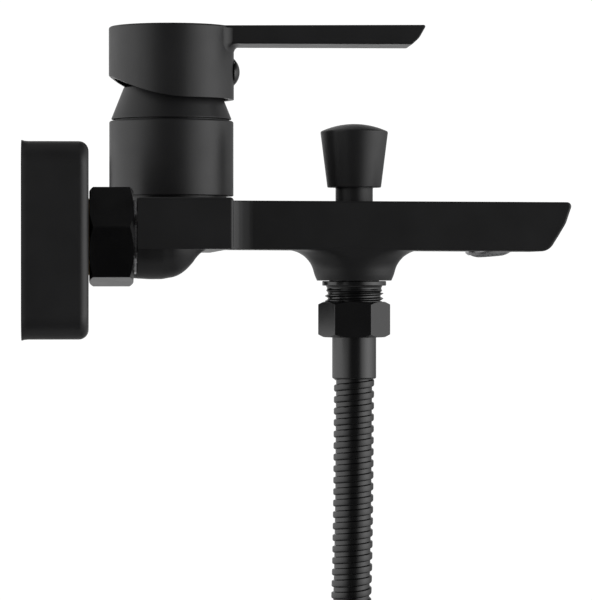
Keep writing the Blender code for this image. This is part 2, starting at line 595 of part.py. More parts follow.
def hose():
    wire("shower_hose", smooth_path(HOSE_ROUTE, 0.022), HOSE_R, GLOSS, 3)
    low = COIL_X - HOSE_R - 0.0002
    high = COIL_X + COIL_PITCH * (COIL_TURNS - 0.25) + HOSE_R + 0.0002
    inner, outer, edge = COIL_R - HOSE_R - 0.0002, COIL_R + HOSE_R + 0.0002, 0.005
    turned("hose_coil",
           [(outer - edge, high), (outer, high - edge), (outer, low + edge), (outer - edge, low),
            (inner + edge, low), (inner, low + edge), (inner, high - edge), (inner + edge, high)],
           FINE, GLOSS, at=(0, 0, COIL_Z), turn=ALONG_X, ring=True)
    tail = [coil_point(COIL_TURNS - 0.25 * share) for share in (0.30, 0.20, 0.10, 0.02, 0.0)]
    wire("hose_tail", tail, HOSE_R, GLOSS, 3)

    strap, spare = 0.0014, 0.0006
    middle = (low + high) / 2
    half_x, half_z = (high - low) / 2 + spare, (outer - inner) / 2 + spare
    loop = bevel(box("hose_tie", (middle - half_x - strap, -0.005, COIL_Z + COIL_R - half_z - strap),
                     (middle + half_x + strap, 0.005, COIL_Z + COIL_R + half_z + strap), RUBBER), 0.0010, 1)
    cut(loop, box("tie_hole", (middle - half_x, -0.02, COIL_Z + COIL_R - half_z),
                  (middle + half_x, 0.02, COIL_Z + COIL_R + half_z)))

    end = Vector(coil_point(COIL_TURNS))
    at = (end.x, end.y, end.z)
    facing = (math.pi / 2, 0, 0)             # local Z becomes -Y, the way the hose ends
    turned("hose_end_ferrule",
           [(0.0094, 0.0205), (0.0094, 0.0186), (FERRULE_R, 0.0186), (FERRULE_R, 0.0007), (0.0074, GAP),
            (0.0050, GAP), (0.0050, 0.0205)], MEDIUM, GLOSS, at=at, turn=facing, ring=True)
    turned("hose_cone_nut",
           [(0.0112, 0.0330), (0.0118, 0.0324), (0.0118, 0.0290), (0.0092, 0.0010), (0.0089, 0.0007),
            (FERRULE_BORE, 0.0007), (FERRULE_BORE, 0.0183), (0.0102, 0.0183), (0.0102, 0.0330)],
           MEDIUM, GLOSS, at=at, turn=facing, ring=True)
    tube("hose_end_washer", 0.0092, 0.0060, 0.0208, 0.0228, COARSE, RUBBER, at=at, turn=facing)


# ---------------------------------------------------------------- the aerator
def aerator():
    turned("aerator_housing",
           [(0.0084, 0.0086), (AERATOR_R, 0.0080), (AERATOR_R, -0.0002), (AERATOR_R - 0.0010, -0.0009),
            (0.0075, -0.0009), (0.0075, 0.0050), (0.0062, 0.0056), (0.0062, 0.0086)],
           MEDIUM, STEEL, at=AERATOR_AT, turn=AERATOR_AXIS, ring=True)
    turned("aerator_insert",
           [(0, 0.0044), (0.0071, 0.0044), (0.0071, -0.0010), (0.0056, -0.0017), (0.0044, -0.0020),
            (0, -0.0021)], MEDIUM, GREY, at=AERATOR_AT, turn=AERATOR_AXIS)
    tube("aerator_seal", 0.0087, 0.0064, 0.0089, 0.0104, COARSE, RUBBER, at=AERATOR_AT, turn=AERATOR_AXIS)


# ---------------------------------------------------------------- the wall connections
def rosette(name, y):
    half = ROSETTE_HALF
    corners = [(-half, -half), (half, -half), (half, half), (-half, half)]
    depth = ROSETTE_DEPTH
    plan = rounded(corners, [0.008] * 4, 3)
    shell = plate(name, plan, depth, PAINT, at=(depth / 2, y, -ROSETTE_DROP), turn=FACING_X)
    weights = shell.data.attributes.new("bevel_weight_edge", "FLOAT", "EDGE")
    for edge in shell.data.edges:
        front = all(shell.data.vertices[v].co.z > depth / 2 - WELD for v in edge.vertices)
        weights.data[edge.index].value = 1.0 if front else 0.0
    made = shell.modifiers.new("edges", "BEVEL")
    made.width = 0.0020
    made.segments = 2
    made.limit_method = "WEIGHT"
    wall = 0.0016
    inside = [(x * (1 - wall / half), z * (1 - wall / half)) for x, z in plan]
    cut(shell,
        plate(name + "_hollow", inside, depth, at=(depth / 2 - wall, y, -ROSETTE_DROP), turn=FACING_X),
        rod(name + "_hole", G34_R + 0.0004, 0.01, 0.03, MEDIUM, at=(0, y, 0), turn=ALONG_X))


def s_union(name, y):
    """An eccentric union, its wall end lower than its front end."""
    at = (0, y, 0)
    wall_end = (0, y, -ECCENTRIC_DROP)
    union = turned(name, [(0, 0.0277), (G34_R - 0.0006, 0.0277), (G34_R, 0.0271), (G34_R, 0.0080),
                          (0, 0.0080)], MEDIUM, BRASS, at=at, turn=ALONG_X)
    join(union, rod(name + "_wall_end", 0.0103, 0.0, 0.0120, MEDIUM, at=wall_end, turn=ALONG_X))
    cut(union,
        rod(name + "_front_bore", 0.0080, 0.0110, 0.0300, COARSE, at=at, turn=ALONG_X),
        rod(name + "_wall_bore", 0.0070, -0.0050, 0.0130, COARSE, at=wall_end, turn=ALONG_X))


def union_nut(name, y):
    low, high = UNION_NUT_X
    flat = UNION_NUT_AF / 2
    corner = flat / math.cos(math.pi / 6) + 0.0001
    at = (0, y, 0)
    nut = turned(name,
                 [(flat - 0.0002, high), (corner, high - 0.0012), (corner, low + 0.0012), (flat - 0.0002, low),
                  (0.0130, low), (0.0130, 0.0333), (0.0111, 0.0333), (0.0111, high)],
                 MEDIUM, GLOSS, at=at, turn=ALONG_X, ring=True)
    middle = (low + high) / 2
    keep(nut, plate(name + "_flats", hexagon(UNION_NUT_AF, math.pi / 2 + UNION_NUT_TURN), 0.03,
                    at=(middle, y, 0), turn=FACING_X))


def wall_connection(side, y):
    rosette(side + "_rosette", y)
    s_union(side + "_eccentric_union", y)
    union_nut(side + "_union_nut", y)
    at = (0, y, 0)
    turned(side + "_union_tail",
           [(0.0083, 0.0425), (0.0087, 0.0421), (0.0087, 0.0374), (0.0123, 0.0374), (0.0123, 0.0368),
            (0.0108, 0.0368), (0.0108, 0.0330), (0.0124, 0.0330), (0.0124, 0.0304), (0.0070, 0.0304),
            (0.0070, 0.0425)], MEDIUM, STEEL, at=at, turn=ALONG_X, ring=True)
    tube(side + "_filter_washer", 0.0123, 0.0075, 0.0280, 0.0301, COARSE, RUBBER, at=at, turn=ALONG_X)


def build():
    mixer_body()
    sleeve_and_cone()
    cartridge()
    lever()
    diverter()
    shower_outlet()
    hose()
    aerator()
    wall_connection("hot", -INLET_Y)
    wall_connection("cold", INLET_Y)
    for obj in PARTS.objects:
        if obj.type == "MESH" and obj.data.polygons:
            obj.data.shade_smooth()
            obj.data.set_sharp_from_angle(angle=math.radians(35))


build()
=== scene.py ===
"""Looks of the wall mounted bath and shower mixer: fine shells, nuts, thread and spiral hose.

Metres, +Z up. The wall is the plane X = 0, the spout points along +X, and the hot inlet is on the
-Y side.
"""

import json
import math

import bmesh
import bpy
from mathutils import Euler, Matrix, Vector


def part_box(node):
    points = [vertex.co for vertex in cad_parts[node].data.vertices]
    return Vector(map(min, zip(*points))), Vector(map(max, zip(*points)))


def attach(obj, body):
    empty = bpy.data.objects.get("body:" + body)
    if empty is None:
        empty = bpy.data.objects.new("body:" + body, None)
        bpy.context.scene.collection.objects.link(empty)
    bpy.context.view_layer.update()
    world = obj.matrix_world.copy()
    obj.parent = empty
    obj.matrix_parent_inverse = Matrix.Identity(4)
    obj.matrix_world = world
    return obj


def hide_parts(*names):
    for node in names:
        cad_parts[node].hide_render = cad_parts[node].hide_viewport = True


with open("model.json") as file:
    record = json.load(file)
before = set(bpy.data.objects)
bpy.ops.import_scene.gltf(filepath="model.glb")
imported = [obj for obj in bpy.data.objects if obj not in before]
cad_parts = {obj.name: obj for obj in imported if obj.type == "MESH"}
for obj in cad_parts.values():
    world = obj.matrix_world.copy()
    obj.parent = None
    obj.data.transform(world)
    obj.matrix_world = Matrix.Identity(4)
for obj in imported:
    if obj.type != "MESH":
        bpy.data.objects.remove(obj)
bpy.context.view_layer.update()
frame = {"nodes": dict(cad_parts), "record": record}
RECORD = frame["record"]
SLOT_OF = {entry["node"]: entry["material_slot"] for entry in RECORD["subparts"]}
BODY_OF = {node: body for body, nodes in RECORD["behaviour"]["bodies"].items() for node in nodes}

WELD = 1e-6                    # merge distance of points that are one point
SHARP = math.radians(40)       # edges that turn by more than this are rounded by a bevel
FINE, ROUND, SMALL = 128, 80, 40          # sides of round pieces, large to small
UPRIGHT = (0, 0, 0)
ALONG_X = (0, math.pi / 2, 0)              # local Z becomes +X
FORWARDS = (math.pi / 2, 0, 0)             # local Z becomes -Y
FACING_X = (math.pi / 2, 0, math.pi / 2)   # local X, Y, Z become +Y, +Z, +X
SIDEWAYS = (math.pi / 2, 0, 0)             # local X, Y, Z become +X, +Z, -Y

INLET_Y = 0.075
HOUSING_X = 0.051
DIVERTER_X = 0.116
AERATOR_AT = (0.1646, 0, -0.0040)
AERATOR_AXIS = (0, math.radians(-4.5), 0)
SPOUT_WIDTH = 0.0315
GRUB_Z = 0.05935               # height of the lever's screw and of the plug that covers it

HOSE_R = 0.0072
HOSE_PITCH = 0.0041            # from one turn of the metal winding to the next
FERRULE_R, FERRULE_BORE = 0.00785, 0.0082
COIL_R, COIL_Z, COIL_X, COIL_PITCH = 0.0856, -0.2590, 0.1135, 0.0146
COIL_START, COIL_TURNS, COIL_STEP_OUT = math.radians(63.7), 2.427, 0.0200

# Route of the hose from the ferrule to the first turn of the coil.
HOSE_ROUTE = [
    (0.1160, 0.0000, -0.0496), (0.1159, 0.0000, -0.0620), (0.1158, 0.0000, -0.0760),
    (0.1157, 0.0000, -0.0900), (0.1155, 0.0000, -0.1040), (0.1153, 0.0000, -0.1160),
    (0.1151, 0.0001, -0.1240), (0.1149, 0.0010, -0.1331), (0.1146, 0.0041, -0.1446),
    (0.1143, 0.0074, -0.1522), (0.1140, 0.0110, -0.1583), (0.1137, 0.0159, -0.1650),
    (0.1135, 0.0243, -0.1734), (0.1135, 0.0340, -0.1802),
]


# ---------------------------------------------------------------- camera, floor and light
CAMERA_LENS = 194.5            # millimetres, on the usual 36 mm wide sensor
CAMERA_AT = (0.0216, -1.150, -0.01264)
CAMERA_PITCH, CAMERA_TURN = math.radians(90 - 0.44), math.radians(-3.665)
SIGHT = 20                     # metres in front of the camera that are seen

FLOOR_AT = (0.1, 0.25, -0.40)
FLOOR_HALF = 0.50
FLOOR_TONE, FLOOR_ROUGHNESS = 0.80, 0.7
BACKDROP = 1.05                # strength of the white behind everything

# How bright the studio is by turn, from the left back (0) over the front (0.5) to the right
# back (1).
SOFTBOXES = [(0.0, 0.30), (0.03, 0.26), (0.07, 0.15), (0.125, 0.28), (0.18, 0.39), (0.25, 0.46),
             (0.30, 0.46), (0.34, 0.36), (0.38, 0.24), (0.42, 0.08), (0.44, 0.018), (0.555, 0.018),
             (0.62, 0.39), (0.67, 0.62), (0.71, 0.68), (0.76, 0.50), (0.81, 0.28), (0.87, 0.11),
             (0.93, 0.10), (0.97, 0.25), (1.0, 0.30)]
# And by height, from straight below (0) over the horizon (0.5) to straight above (1).
# The right softbox reaches less far up than the left.
HEIGHTS = [(0.0, 0.08), (0.15, 0.09), (0.22, 0.22), (0.32, 0.63), (0.45, 1.0), (0.62, 1.0)]
LEFT_TOP = [(0.80, 0.45), (0.93, 0.22), (1.0, 0.22)]
RIGHT_TOP = [(0.74, 0.50), (0.83, 0.08), (1.0, 0.12)]
LIGHT = 3.0


def camera():
    """A long lens at the height of the spout's underside, a little to the left of the housing."""
    lens = bpy.data.cameras.new("camera")
    lens.lens = CAMERA_LENS
    lens.clip_end = SIGHT
    made = bpy.data.objects.new("camera", lens)
    made.location = CAMERA_AT
    made.rotation_euler = (CAMERA_PITCH, 0, CAMERA_TURN)
    bpy.context.scene.collection.objects.link(made)
    bpy.context.scene.camera = made
    bpy.context.scene.view_settings.view_transform = "Standard"


def floor():
    """A pale floor under the coil, reaching further back than forward."""
    mesh = bpy.data.meshes.new("floor")
    sheet = bmesh.new()
    bmesh.ops.create_grid(sheet, x_segments=8, y_segments=8, size=FLOOR_HALF)
    sheet.to_mesh(mesh)
    sheet.free()
    made = bpy.data.objects.new("floor", mesh)
    made.location = FLOOR_AT
    bpy.context.scene.collection.objects.link(made)
    pale = bpy.data.materials.new("floor")
    pale.use_nodes = True
    shader = pale.node_tree.nodes["Principled BSDF"]
    shader.inputs["Base Color"].default_value = (FLOOR_TONE, FLOOR_TONE, FLOOR_TONE, 1)
    shader.inputs["Roughness"].default_value = FLOOR_ROUGHNESS
    mesh.materials.append(pale)


def studio():
    """A white backdrop for the eye, and for the object a dim front between two tall softboxes."""
    world = bpy.data.worlds.new("studio")
    bpy.context.scene.world = world
    world.use_nodes = True
    nodes, links = world.node_tree.nodes, world.node_tree.links
    nodes.clear()
    out = nodes.new("ShaderNodeOutputWorld")
    backdrop = nodes.new("ShaderNodeBackground")
    backdrop.inputs["Strength"].default_value = BACKDROP
    light = nodes.new("ShaderNodeBackground")
    seen = nodes.new("ShaderNodeLightPath")
    mix = nodes.new("ShaderNodeMixShader")
    links.new(seen.outputs["Is Camera Ray"], mix.inputs[0])
    links.new(light.outputs[0], mix.inputs[1])
    links.new(backdrop.outputs[0], mix.inputs[2])
    links.new(mix.outputs[0], out.inputs[0])
    backdrop.inputs["Color"].default_value = (1, 1, 1, 1)

    way = nodes.new("ShaderNodeTexCoord")
    parts = nodes.new("ShaderNodeSeparateXYZ")
    links.new(way.outputs["Generated"], parts.inputs[0])
    front = math_node(nodes, links, "MULTIPLY", parts.outputs["Y"], -1)
    turn = math_node(nodes, links, "ARCTAN2", parts.outputs["X"], front)
    share = math_node(nodes, links, "MULTIPLY_ADD", turn, 1 / (2 * math.pi), 0.5)
    boxes = nodes.new("ShaderNodeValToRGB")
    links.new(share, boxes.inputs[0])
    ramp(boxes, SOFTBOXES, "EASE")
    height = math_node(nodes, links, "MULTIPLY_ADD", parts.outputs["Z"], 0.5, 0.5)
    rises = []
    for upper in (LEFT_TOP, RIGHT_TOP):
        made = nodes.new("ShaderNodeValToRGB")
        links.new(height, made.inputs[0])
        ramp(made, HEIGHTS + upper, "EASE")
        rises.append(made.outputs[0])
    right = math_node(nodes, links, "GREATER_THAN", share, 0.5)
    more = math_node(nodes, links, "SUBTRACT", rises[1], rises[0])
    rise = math_node(nodes, links, "MULTIPLY_ADD", right, more, rises[0])
    both = math_node(nodes, links, "MULTIPLY", boxes.outputs[0], rise)
    links.new(math_node(nodes, links, "MULTIPLY", both, LIGHT), light.inputs["Strength"])
    light.inputs["Color"].default_value = (1, 1, 1, 1)


def math_node(nodes, links, operation, *values):
    """A calculation whose values are numbers or the outputs of other nodes."""
    made = nodes.new("ShaderNodeMath")
    made.operation = operation
    for socket, value in zip(made.inputs, values):
        if isinstance(value, (int, float)):
            socket.default_value = value
        else:
            links.new(value, socket)
    return made.outputs[0]


def ramp(node, stops, interpolation="LINEAR"):
    """Fills a colour ramp with (place, grey value or colour) stops."""
    colours = node.color_ramp
    colours.interpolation = interpolation
    while len(colours.elements) > 1:
        colours.elements.remove(colours.elements[-1])
    for k, (place, value) in enumerate(stops):
        stop = colours.elements[0] if k == 0 else colours.elements.new(place)
        stop.position = place
        shade = value if isinstance(value, tuple) else (value, value, value)
        stop.color = (*shade, 1)


# ---------------------------------------------------------------- materials
class Look:
    """A material under construction: a Principled shader and the points of the object it is on."""

    def __init__(self, name, metallic=0.0, specular=0.5):
        self.material = bpy.data.materials.new(name)
        self.material.use_nodes = True
        self.nodes, self.links = self.material.node_tree.nodes, self.material.node_tree.links
        self.shader = self.nodes["Principled BSDF"]
        self.shader.inputs["Metallic"].default_value = metallic
        self.shader.inputs["Specular IOR Level"].default_value = specular
        self.place = self.nodes.new("ShaderNodeTexCoord").outputs["Object"]

    def noise(self, scale, detail, stretch=(1, 1, 1)):
        """Noise in the object's own space: grains per metre, drawn out by the stretch."""
        mapping = self.nodes.new("ShaderNodeMapping")
        mapping.inputs["Scale"].default_value = stretch
        self.links.new(self.place, mapping.inputs[0])
        made = self.nodes.new("ShaderNodeTexNoise")
        made.inputs["Scale"].default_value = scale
        made.inputs["Detail"].default_value = detail
        self.links.new(mapping.outputs[0], made.inputs["Vector"])
        return made.outputs["Fac"]

    def vary(self, socket, source, low, high):
        """Drives a socket of the shader between two values or colours by a noise."""
        made = self.nodes.new("ShaderNodeValToRGB")
        self.links.new(source, made.inputs[0])
        ramp(made, [(0.3, low), (0.7, high)])
        self.links.new(made.outputs[0], self.shader.inputs[socket])

    def bump(self, source, height, below=None):
        """Raises the surface by a noise of a height in metres, on top of another bump if given."""
        made = self.nodes.new("ShaderNodeBump")
        made.inputs["Strength"].default_value = 1.0
        made.inputs["Distance"].default_value = height
        self.links.new(source, made.inputs["Height"])
        if below:
            self.links.new(below, made.inputs["Normal"])
        self.links.new(made.outputs[0], self.shader.inputs["Normal"])
        return made.outputs[0]


def satin_black():
    """Powder coat: a fine orange peel under a satin skin, with slightly uneven gloss."""
    look = Look("satin_black")
    look.vary("Base Color", look.noise(60, 3), (0.0225, 0.0225, 0.0233), (0.0285, 0.0285, 0.0295))
    look.vary("Roughness", look.noise(140, 4), 0.35, 0.40)
    peel = look.bump(look.noise(1600, 2), 0.000006)
    look.bump(look.noise(5200, 1), 0.000003, peel)
    return look.material


def gloss_black():
    """Black plating over machined brass, smooth apart from a very faint grain."""
    look = Look("gloss_black", specular=0.75)
    look.vary("Base Color", look.noise(90, 3), (0.0076, 0.0076, 0.0081), (0.0104, 0.0104, 0.0111))
    look.vary("Roughness", look.noise(160, 3), 0.22, 0.26)
    look.bump(look.noise(2500, 2), 0.0000012)
    return look.material


def hose_skin():
    """Black plated steel strip, with a slightly uneven gloss."""
    look = Look("hose_skin", specular=0.70)
    look.vary("Base Color", look.noise(120, 3), (0.0050, 0.0050, 0.0055), (0.0080, 0.0080, 0.0085))
    look.vary("Roughness", look.noise(200, 3), 0.23, 0.29)
    look.bump(look.noise(3500, 2), 0.000002)
    return look.material


def metal(name, dark, light, low, high, stretch):
    """Machined or drawn metal: fine lines drawn out along one way over a patchy tone."""
    look = Look(name, metallic=1.0)
    look.vary("Base Color", look.noise(200, 4), dark, light)
    look.vary("Roughness", look.noise(900, 3, stretch), low, high)
    look.bump(look.noise(2600, 2, stretch), 0.000004)
    return look.material


def plastic(name, dark, light, roughness, spread=0.06):
    """Moulded plastic with a fine spark-eroded grain. Ceramic and rubber are made the same way."""
    look = Look(name)
    look.vary("Base Color", look.noise(150, 3), dark, light)
    look.vary("Roughness", look.noise(700, 2), roughness - spread, roughness + spread)
    look.bump(look.noise(4000, 2), 0.000005)
    return look.material


LOOKS = {
    "satin_black": satin_black(),
    "gloss_black": gloss_black(),
    "hose_skin": hose_skin(),
    "brass": metal("brass", (0.62, 0.43, 0.19), (0.78, 0.57, 0.28), 0.26, 0.42, (1, 1, 8)),
    "steel": metal("steel", (0.50, 0.50, 0.51), (0.64, 0.64, 0.65), 0.22, 0.36, (1, 1, 6)),
    "white_plastic": plastic("white_plastic", (0.74, 0.74, 0.71), (0.82, 0.82, 0.80), 0.45),
    "grey_plastic": plastic("grey_plastic", (0.26, 0.27, 0.28), (0.34, 0.35, 0.36), 0.42),
    "ceramic": plastic("ceramic", (0.82, 0.81, 0.78), (0.88, 0.87, 0.84), 0.20),
    "rubber": plastic("rubber", (0.014, 0.014, 0.014), (0.026, 0.026, 0.026), 0.70),
}


# ---------------------------------------------------------------- mesh helpers
def placed(at, turn):
    """The matrix of a place and a turn."""
    return Matrix.Translation(at) @ Euler(turn).to_matrix().to_4x4()


def new_object(name, sheet, at=(0, 0, 0), turn=UPRIGHT):
    """An object from a bmesh. Its points are moved into place, and its origin stays at zero."""
    bmesh.ops.transform(sheet, matrix=placed(at, turn), verts=sheet.verts)
    mesh = bpy.data.meshes.new(name)
    sheet.to_mesh(mesh)
    sheet.free()
    made = bpy.data.objects.new(name, mesh)
    bpy.context.scene.collection.objects.link(made)
    return made


def arc(centre, radius, start, end, steps):
    """Points on an arc from start to end, in degrees."""
    angles = [math.radians(start + (end - start) * i / steps) for i in range(steps + 1)]
    return [(centre[0] + radius * math.cos(a), centre[1] + radius * math.sin(a)) for a in angles]


def cap(radius, apex, sweep, steps):
    """Half the section of a spherical cap, from its apex down through the angle `sweep`."""
    return [(radius * math.sin(a), apex - radius * (1 - math.cos(a)))
            for a in (sweep * i / steps for i in range(steps + 1))]


def rounded(corners, radii, steps, loop=True):
    """An outline whose corners become arcs of the given radii. An open one keeps its two ends."""
    outline = []
    for i, (corner, radius) in enumerate(zip(corners, radii)):
        here = Vector(corner)
        if radius == 0 or (not loop and i in (0, len(corners) - 1)):
            outline.append(tuple(here))
            continue
        back = (Vector(corners[i - 1]) - here).normalized()
        ahead = (Vector(corners[(i + 1) % len(corners)]) - here).normalized()
        half = back.angle(ahead) / 2
        reach = radius / math.tan(half)
        centre = here + (back + ahead).normalized() * radius / math.sin(half)
        first = (here + back * reach - centre).normalized()
        last = (here + ahead * reach - centre).normalized()
        for k in range(steps + 1):
            outline.append(tuple(centre + first.slerp(last, k / steps) * radius))
    return outline


def smooth_line(points, steps):
    """A smooth curve through points of any dimension, with `steps` stretches between each two."""
    points = [Vector(p) for p in points]
    padded = [2 * points[0] - points[1], *points, 2 * points[-1] - points[-2]]
    dense = []
    for a, b, c, d in zip(padded, padded[1:], padded[2:], padded[3:]):
        for k in range(steps):
            t = k / steps
            dense.append(0.5 * (2 * b + (c - a) * t + (2 * a - 5 * b + 4 * c - d) * t * t
                                + (3 * b - a - 3 * c + d) * t ** 3))
    return dense + [points[-1]]


def turned(name, profile, sides, at=(0, 0, 0), turn=UPRIGHT, ring=False):
    """Turns a profile of (radius, height) points about the local Z axis through `at`."""
    sheet = bmesh.new()
    points = [sheet.verts.new((r, 0, h)) for r, h in profile]
    edges = [sheet.edges.new(pair) for pair in zip(points, points[1:])]
    if ring:
        edges.append(sheet.edges.new((points[-1], points[0])))
    bmesh.ops.spin(sheet, geom=points + edges, cent=(0, 0, 0), axis=(0, 0, 1), angle=2 * math.pi,
                   steps=sides, use_merge=True)
    bmesh.ops.remove_doubles(sheet, verts=sheet.verts, dist=WELD)
    bmesh.ops.recalc_face_normals(sheet, faces=sheet.faces)
    return new_object(name, sheet, at, turn)


def rod(name, radius, low, high, sides, at=(0, 0, 0), turn=UPRIGHT):
    """A plain cylinder between two heights on its own axis."""
    return turned(name, [(0, high), (radius, high), (radius, low), (0, low)], sides, at, turn)


def box(name, low, high):
    """A block between two opposite corners."""
    sheet = bmesh.new()
    bmesh.ops.create_cube(sheet, size=1)
    bmesh.ops.scale(sheet, vec=[b - a for a, b in zip(low, high)], verts=sheet.verts)
    bmesh.ops.translate(sheet, vec=[(a + b) / 2 for a, b in zip(low, high)], verts=sheet.verts)
    return new_object(name, sheet)


def plate(name, outline, thickness, at=(0, 0, 0), turn=UPRIGHT):
    """A flat outline with an even thickness, centred on its local XY plane."""
    sheet = bmesh.new()
    face = sheet.faces.new([sheet.verts.new((x, y, -thickness / 2)) for x, y in outline])
    grown = bmesh.ops.extrude_face_region(sheet, geom=[face])
    top = [v for v in grown["geom"] if isinstance(v, bmesh.types.BMVert)]
    bmesh.ops.translate(sheet, vec=(0, 0, thickness), verts=top)
    bmesh.ops.recalc_face_normals(sheet, faces=sheet.faces)
    return new_object(name, sheet, at, turn)


def loft(name, rings, at=(0, 0, 0)):
    """A closed skin over rings with the same number of points, flat at both ends."""
    sheet = bmesh.new()
    rows = [[sheet.verts.new(point) for point in ring] for ring in rings]
    for a, b in zip(rows, rows[1:]):
        for k in range(len(a)):
            n = (k + 1) % len(a)
            sheet.faces.new((a[k], a[n], b[n], b[k]))
    sheet.faces.new(rows[0])
    sheet.faces.new(rows[-1])
    bmesh.ops.recalc_face_normals(sheet, faces=sheet.faces)
    return new_object(name, sheet, at)


def bevel(obj, width, segments=4, by_weight=False):
    """Rounds the sharp edges of an object, or only those whose bevel weight is set."""
    made = obj.modifiers.new("edges", "BEVEL")
    made.width = width
    made.segments = segments
    made.limit_method = "WEIGHT" if by_weight else "ANGLE"
    made.angle_limit = SHARP
    return collapse(obj)


def collapse(obj):
    """Gives an object the mesh that its modifiers make of it, and takes the modifiers off."""
    graph = bpy.context.evaluated_depsgraph_get()
    graph.update()
    mesh = bpy.data.meshes.new_from_object(obj.evaluated_get(graph))
    obj.modifiers.clear()
    obj.data = mesh
    return obj


def combine(obj, others, operation):
    """Combines an object with others by a Boolean. The others are used up."""
    for other in others:
        step = obj.modifiers.new(other.name, "BOOLEAN")
        step.operation = operation
        step.solver = "MANIFOLD"
        step.object = other
    collapse(obj)
    for other in others:
        bpy.data.objects.remove(other, do_unlink=True)
    return obj


def cut(obj, *others):
    """Takes the others out of an object."""
    return combine(obj, others, "DIFFERENCE")


def join(obj, *others):
    """Adds the others to an object."""
    return combine(obj, others, "UNION")


def keep(obj, other):
    """Keeps the part of an object that is inside another."""
    return combine(obj, [other], "INTERSECT")


def show(obj, *nodes, angle=35):
    """Shades a finished piece, gives it its material and lets it stand for its CAD nodes."""
    obj.name = "fine_" + nodes[0]
    obj.data.name = obj.name
    obj.data.materials.clear()
    obj.data.materials.append(LOOKS[SLOT_OF[nodes[0]]])
    obj.data.shade_smooth()
    obj.data.set_sharp_from_angle(angle=math.radians(angle))
    even = obj.modifiers.new("even_normals", "WEIGHTED_NORMAL")
    even.keep_sharp = True
    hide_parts(*nodes)
    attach(obj, BODY_OF[nodes[0]])


# ---------------------------------------------------------------- the casting
BAR_LOW, BAR_HIGH = (0.0377, -0.0891, -0.0041), (0.0692, 0.0891, 0.0129)
BAR_EDGE = 0.0012              # rounding of the bar's upper and front edges
INLET_BORE, NECK_R, CHAMBER_R = 0.0090, 0.0195, 0.0177


def elbow(side):
    """The round inlet elbow, whose far end closes in a soft point behind the bar."""
    curve = [(0.0138, 0.0377), (0.01385, 0.0390), (0.0140, 0.0415), (0.0140, 0.0440),
             (0.01395, 0.0460), (0.0136, 0.0480), (0.0132, 0.0500), (0.0123, 0.0520),
             (0.0108, 0.0540), (0.0087, 0.0560), (0.0073, 0.0570), (0.0061, 0.0580),
             (0.0052, 0.0590), (0.0045, 0.0600), (0.0038, 0.0612), (0.0030, 0.0626),
             (0.0018, 0.0636), (0, 0.0640)]
    profile = [tuple(p) for p in smooth_line(curve, 4)]
    profile = [(0, 0.0377)] + [(max(r, 0), h) for r, h in profile]
    made = turned("elbow", profile, ROUND, (0, side * INLET_Y, 0), ALONG_X)
    return keep(made, box("elbow_trim", (0.03, side * INLET_Y - 0.02, -0.02),
                          (0.07, side * INLET_Y + 0.02, BAR_HIGH[2] - 0.00005)))


def spout():
    """The flat spout from inside the bar to its slanting tip, drawn from the side."""
    corners = [(0.060, 0.01357), (0.1922, 0.0131), (0.1897, 0.0056), (0.1872, 0.0014),
               (0.1836, -0.0043), (0.060, -0.0036)]
    outline = rounded(corners, [0, 0.0015, 0.010, 0.008, 0.0050, 0], 8)
    return bevel(plate("spout", outline, SPOUT_WIDTH, turn=SIDEWAYS), 0.0009)


def boss():
    """The boss under the spout. Its round flare melts into the flat planes of the spout's sides."""
    flare = [(0.0233, -0.0037), (0.0204, -0.00445), (0.0179, -0.0059), (0.0165, -0.0073),
             (0.0155, -0.0087), (0.01485, -0.0101), (0.0144, -0.0116), (0.01395, -0.0130),
             (0.01325, -0.0146)]
    levels = [(0.0243, 0.0)] + [tuple(p) for p in smooth_line(flare, 4)]
    sink, blend = 0.00004, 14      # sink keeps its flats just inside the spout's sides
    half = SPOUT_WIDTH / 2 - sink
    rings = []
    for radius, height in levels:
        ring = []
        for k in range(FINE):
            turn = 2 * math.pi * k / FINE
            flat = abs(math.sin(turn)) / half
            reach = (radius ** -blend + flat ** blend) ** (-1 / blend)
            ring.append((reach * math.cos(turn), reach * math.sin(turn), height))
        rings.append(ring)
    return loft("boss", rings, (DIVERTER_X, 0, 0))


def root_fillet():
    """The inner corners between bar and spout, which ease out along the spout's sides."""
    half, radius = SPOUT_WIDTH / 2, 0.0079
    sink = 0.00003                 # so that it ends just inside the spout's sides
    ease = [(0.0728, 0.00190), (0.0740, 0.00126), (0.0748, 0.00096), (0.0758, 0.00065),
            (0.0777, 0.00021), (0.0787, 0.00007), (0.0796, 0.00001), (0.0802, 0.0)]
    tail = [(x, half - sink + step) for x, step in smooth_line(ease, 5)]
    sweep = math.acos(1 - (ease[0][0] - BAR_HIGH[0]) / radius)
    centre = (BAR_HIGH[0] + radius, tail[0][1] + radius * math.sin(sweep))
    side = arc(centre, radius, 180, 180 + math.degrees(sweep), 12)[:-1] + tail
    outline = [(0.0682, side[0][1])] + side + [(side[-1][0], half - 0.002)]
    outline += [(x, -y) for x, y in reversed(outline)]
    low, high = -0.0034, 0.0132
    return plate("root_fillet", outline, high - low, (0, 0, (low + high) / 2))


def bar():
    """The horizontal bar, rounded along its upper and front edges."""
    made = box("casting", BAR_LOW, BAR_HIGH)
    weights = made.data.attributes.new("bevel_weight_edge", "FLOAT", "EDGE")
    for edge in made.data.edges:
        ends = [made.data.vertices[v].co for v in edge.vertices]
        upper = all(end.z > BAR_HIGH[2] - WELD for end in ends)
        front = all(end.x > BAR_HIGH[0] - WELD for end in ends)
        weights.data[edge.index].value = 1.0 if upper or front else 0.0
    return bevel(made, BAR_EDGE, by_weight=True)


